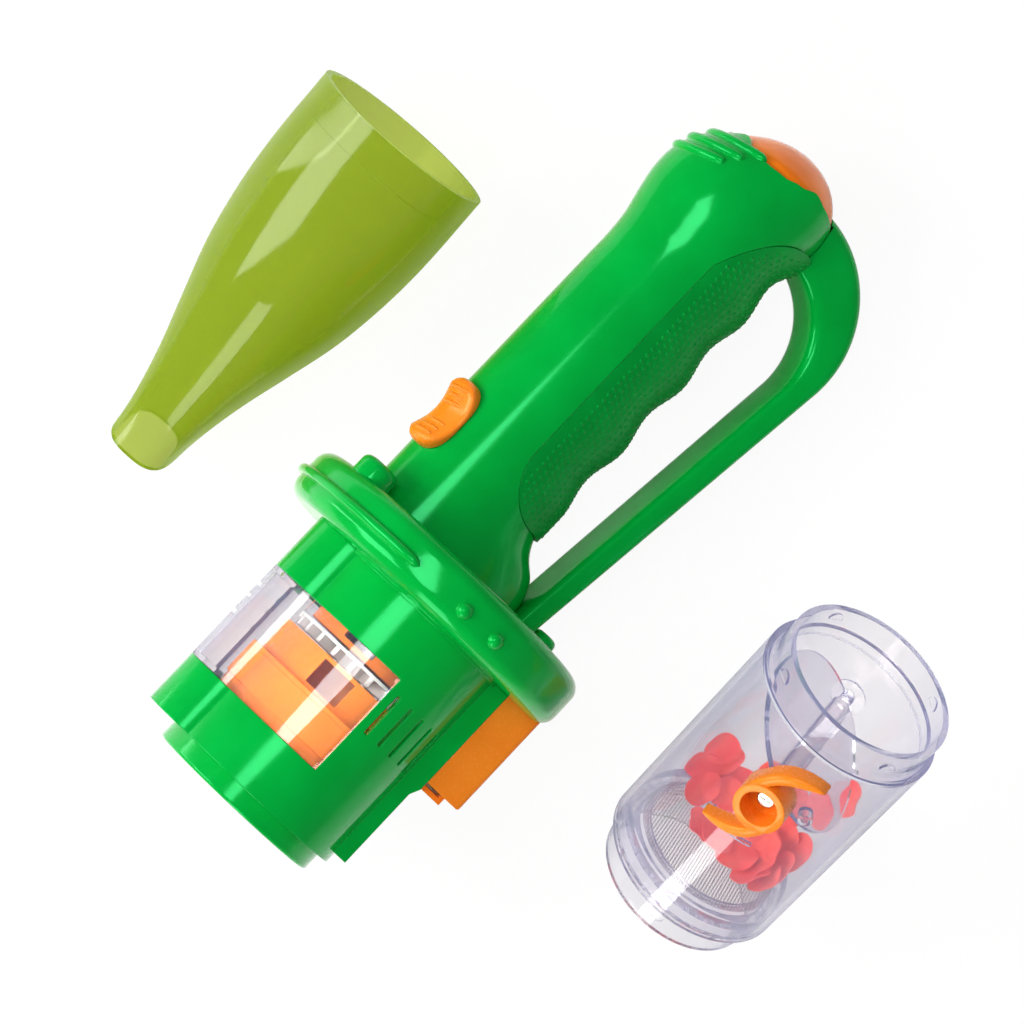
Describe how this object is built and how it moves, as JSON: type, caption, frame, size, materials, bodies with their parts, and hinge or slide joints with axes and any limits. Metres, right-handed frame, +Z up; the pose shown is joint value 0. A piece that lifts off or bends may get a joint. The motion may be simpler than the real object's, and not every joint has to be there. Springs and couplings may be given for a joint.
{
  "type": "bug vacuum with catcher jar",
  "caption": "Hand-held bug vacuum in three pieces: funnel nozzle, clear catching jar with a butterfly valve, and fan body with loop handle.",
  "frame": {"origin": "centre of the bounding box, on the surface that the pieces lie on", "axes": "+Z up from the floor; +X from the suction body's front socket towards the end of its handle, so that the body lies along X; +Y from the body towards the nozzle; the jar lies on the -Y side"},
  "size_m": [0.261, 0.2764, 0.1073],
  "materials": {
    "green_shell": "glossy injection-moulded ABS",
    "green_grip": "textured moulded grip",
    "orange_plastic": "glossy injection-moulded ABS",
    "orange_clear": "translucent polystyrene",
    "clear_plastic": "clear polystyrene",
    "lime_clear": "translucent tinted polystyrene",
    "white_plastic": "moulded nylon",
    "motor_steel": "drawn zinc-plated steel",
    "screw_steel": "nickel-plated",
    "mesh_steel": "woven stainless wire",
    "copper": "plain strip",
    "cell_jacket": "plain shrink sleeve",
    "red_paper": "matt tissue paper"
  },
  "bodies": {
    "suction_body": {"housing_near": "green_shell", "housing_far": "green_shell", "window_cover": "clear_plastic", "front_collar": "green_shell", "bumper_near": "green_shell", "bumper_far": "green_shell", "handle_near": "green_shell", "handle_far": "green_shell", "grip_panel_near": "green_grip", "grip_panel_far": "green_grip", "loop_guard_near": "green_shell", "loop_guard_far": "green_shell", "end_cap": "orange_clear", "case_screws": "screw_steel", "intake_duct": "orange_plastic", "fan_housing": "orange_plastic", "motor_bracket": "orange_plastic", "motor_can": "motor_steel", "motor_end_bell": "white_plastic", "switch_base": "white_plastic"},
    "fan": {"impeller": "white_plastic", "motor_shaft": "screw_steel"},
    "switch": {"switch_slider": "orange_plastic", "switch_wiper": "copper"},
    "battery_tray": {"battery_box": "orange_plastic", "battery_cells": "cell_jacket", "battery_contacts": "copper"},
    "nozzle": {"nozzle": "lime_clear"},
    "jar": {"jar_tube": "clear_plastic", "jar_base": "clear_plastic", "mesh_frame": "clear_plastic", "mesh_screen": "mesh_steel", "petals": "red_paper"},
    "valve": {"valve_flap": "clear_plastic", "valve_shaft": "clear_plastic", "valve_knob": "orange_plastic", "knob_screw": "screw_steel"}
  },
  "joints": [
    {"name": "fan_spin", "type": "hinge", "parent": "suction_body", "child": "fan", "pos_m": [-0.06795, 0.00731, 0.05873], "axis": [0.981, 0, -0.1942], "continuous": true},
    {"name": "switch_slide", "type": "slide", "parent": "suction_body", "child": "switch", "axis": [0.981, 0, -0.1942], "range_m": [-0.003, 0.003]},
    {"name": "battery_tray_pull", "type": "slide", "parent": "suction_body", "child": "battery_tray", "axis": [-0.0664, -0.9397, -0.3355], "range_m": [0, 0.03]},
    {"name": "valve_turn", "type": "hinge", "parent": "jar", "child": "valve", "pos_m": [0.00633, -0.10458, 0.06079], "axis": [-0.5173, 0.0351, 0.8551], "range_deg": [-55, 35]},
    {"name": "nozzle_lift", "type": "slide", "parent": "suction_body", "child": "nozzle", "axis": [0, 0, 1], "range_m": [0, 0.06]},
    {"name": "jar_lift", "type": "slide", "parent": "suction_body", "child": "jar", "axis": [0, 0, 1], "range_m": [0, 0.06]}
  ]
}
